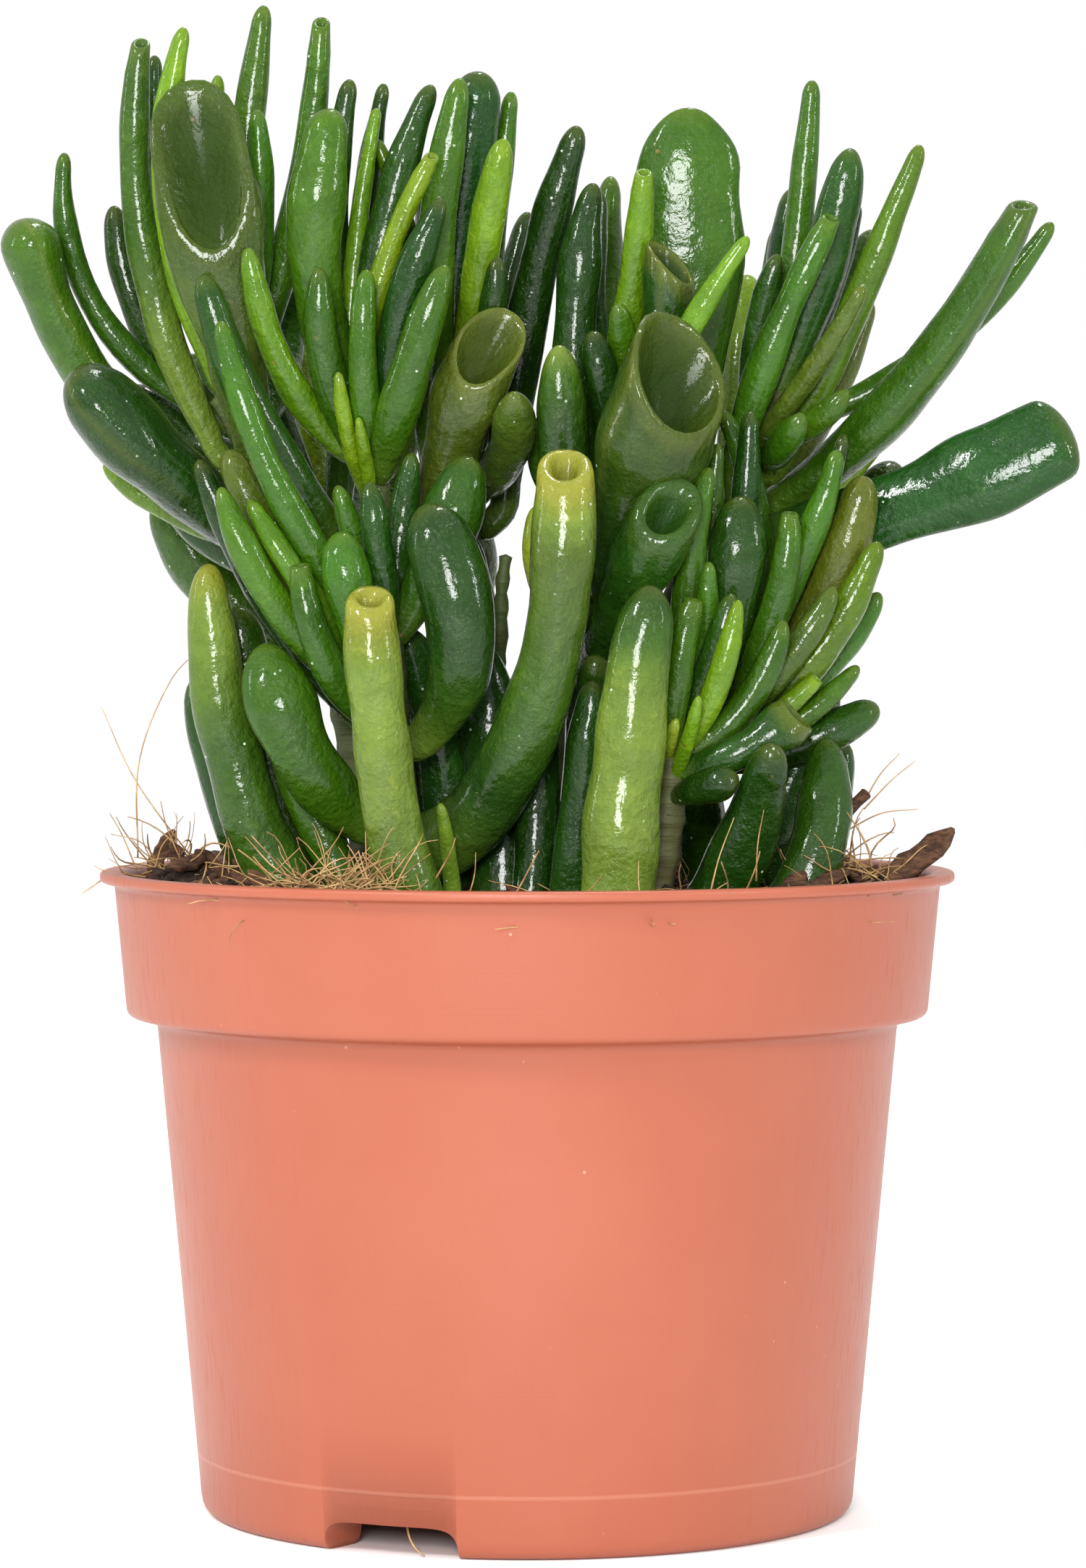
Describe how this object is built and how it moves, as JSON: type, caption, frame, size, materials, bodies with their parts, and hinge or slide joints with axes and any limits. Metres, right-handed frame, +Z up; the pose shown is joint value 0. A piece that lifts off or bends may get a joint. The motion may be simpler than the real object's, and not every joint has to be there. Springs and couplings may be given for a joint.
{
  "type": "potted succulent",
  "caption": "Jade plant with upright tubular leaves, some open or cupped at the tip, growing from several cuttings in a round tapered plastic nursery pot filled with soil.",
  "frame": {"origin": "the middle of the pot's foot, on the surface that the pot stands on", "axes": "+Z up along the pot's axis; -Y to the front, the side with the moulded notch just left of the middle and the small rosette to the right; +X to the right seen from the front"},
  "size_m": [0.1497, 0.12, 0.212],
  "materials": {
    "green_stem": "matte",
    "leaf_bright": "gloss",
    "leaf_dark": "gloss",
    "leaf_mid": "gloss",
    "leaf_olive": "gloss",
    "leaf_pale": "gloss",
    "potting_soil": "matte",
    "terracotta_plastic": "satin"
  },
  "bodies": {
    "root": {"crown_back_left": "leaf_mid", "crown_back_right": "leaf_mid", "crown_centre_left": "leaf_mid", "crown_centre_right": "leaf_mid", "crown_front_left": "leaf_mid", "crown_front_right": "leaf_mid", "crown_left": "leaf_mid", "crown_low_right": "leaf_mid", "crown_middle": "leaf_mid", "crown_right": "leaf_mid", "leaf_back_cup": "leaf_olive", "leaf_back_left": "leaf_mid", "leaf_back_right": "leaf_dark", "leaf_back_tube": "leaf_mid", "leaf_behind_pale": "leaf_dark", "leaf_big_cup": "leaf_olive", "leaf_bright_reach": "leaf_bright", "leaf_centre_front": "leaf_mid", "leaf_centre_pointed": "leaf_olive", "leaf_curled_cup": "leaf_dark", "leaf_curved_hook": "leaf_dark", "leaf_dark_lean": "leaf_dark", "leaf_dark_trumpet": "leaf_dark", "leaf_far_right": "leaf_dark", "leaf_folded_cup": "leaf_olive", "leaf_front_pale": "leaf_pale", "leaf_front_tube": "leaf_pale", "leaf_lean_right": "leaf_dark", "leaf_left_fat": "leaf_dark", "leaf_left_tall": "leaf_mid", "leaf_left_trumpet": "leaf_mid", "leaf_long_reach": "leaf_mid", "leaf_low_left": "leaf_mid", "leaf_low_left_wide": "leaf_mid", "leaf_low_right": "leaf_dark", "leaf_open_tip": "leaf_mid", "leaf_pointed": "leaf_mid", "leaf_reaching": "leaf_dark", "leaf_right_light": "leaf_bright", "leaf_round_blade": "leaf_mid", "leaf_round_top": "leaf_mid", "leaf_spoon": "leaf_olive", "pot": "terracotta_plastic", "soil": "potting_soil", "stem_back_left": "green_stem", "stem_back_right": "green_stem", "stem_centre_left": "green_stem", "stem_centre_right": "green_stem", "stem_front_left": "green_stem", "stem_front_right": "green_stem", "stem_left": "green_stem", "stem_low_right": "green_stem", "stem_middle": "green_stem", "stem_right": "green_stem"}
  },
  "joints": []
}
